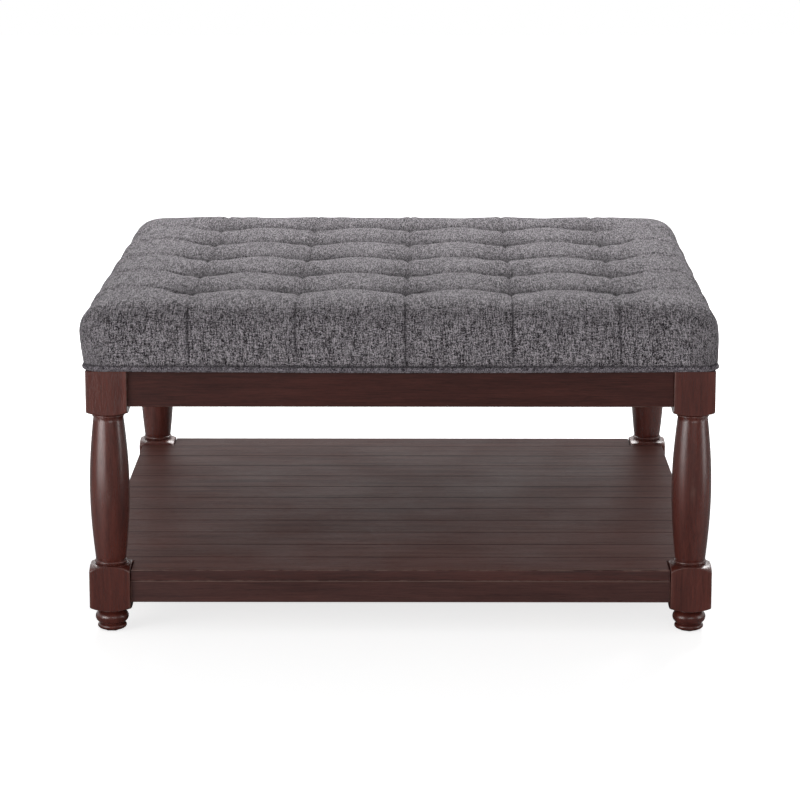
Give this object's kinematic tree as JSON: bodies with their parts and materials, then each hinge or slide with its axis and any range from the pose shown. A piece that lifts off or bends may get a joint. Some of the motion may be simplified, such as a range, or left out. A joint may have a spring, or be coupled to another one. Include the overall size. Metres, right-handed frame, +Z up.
{
  "type": "ottoman coffee table",
  "caption": "Square upholstered coffee table with a biscuit-tufted, piped cushion top on turned wooden legs, with a boarded lower shelf between the legs.",
  "frame": {"origin": "on the floor under the middle of the table", "axes": "+X to the right and +Y to the back as seen from the front, along the shelf's boards and across them, +Z up"},
  "size_m": [0.868, 0.868, 0.4571],
  "materials": {
    "stained_wood": "satin dark red-brown stain on close-grained hardwood",
    "shelf_wood": "satin dark red-brown stain, boards with bevelled joints",
    "plain_wood": "unfinished softwood and beech inside the frame",
    "plywood": "unfinished plywood",
    "heather_fabric": "heathered grey linen-look weave with a slight purple cast",
    "piping_fabric": "the same weave cut on the bias round a cord",
    "foam": "open-cell cushion foam",
    "twine": "waxed tufting twine",
    "disc_plastic": "moulded plastic",
    "dust_cloth": "black spun non-woven cloth",
    "zinc_steel": "zinc plated",
    "glide_nylon": "dark brown nylon"
  },
  "bodies": {
    "root": {"apron_front": "stained_wood", "apron_left": "stained_wood", "apron_plate_front_left": "zinc_steel", "apron_plate_front_right": "zinc_steel", "apron_plate_rear_left": "zinc_steel", "apron_plate_rear_right": "zinc_steel", "apron_rear": "stained_wood", "apron_right": "stained_wood", "cleat_screws": "zinc_steel", "deck_panel": "plywood", "dust_cover": "dust_cloth", "floor_glides": "glide_nylon", "foam_slab": "foam", "hanger_bolts": "zinc_steel", "hanger_nuts": "zinc_steel", "hanger_washers": "zinc_steel", "leg_front_left": "stained_wood", "leg_front_right": "stained_wood", "leg_rear_left": "stained_wood", "leg_rear_right": "stained_wood", "plate_screws": "zinc_steel", "rail_dowels": "plain_wood", "seat_cleat_front": "plain_wood", "seat_cleat_left": "plain_wood", "seat_cleat_rear": "plain_wood", "seat_cleat_right": "plain_wood", "seat_cover": "heather_fabric", "seat_screws": "zinc_steel", "seat_welt": "piping_fabric", "shelf_batten_left": "plain_wood", "shelf_batten_right": "plain_wood", "shelf_board_01": "shelf_wood", "shelf_board_02": "shelf_wood", "shelf_board_03": "shelf_wood", "shelf_board_04": "shelf_wood", "shelf_board_05": "shelf_wood", "shelf_board_06": "shelf_wood", "shelf_board_07": "shelf_wood", "shelf_board_08": "shelf_wood", "shelf_board_09": "shelf_wood", "shelf_board_10": "shelf_wood", "shelf_board_11": "shelf_wood", "shelf_board_12": "shelf_wood", "shelf_plate_front_left": "zinc_steel", "shelf_plate_front_right": "zinc_steel", "shelf_plate_rear_left": "zinc_steel", "shelf_plate_rear_right": "zinc_steel", "shelf_rail_front": "stained_wood", "shelf_rail_left": "stained_wood", "shelf_rail_rear": "stained_wood", "shelf_rail_right": "stained_wood", "tie_discs": "disc_plastic", "tuft_ties": "twine"}
  },
  "joints": []
}
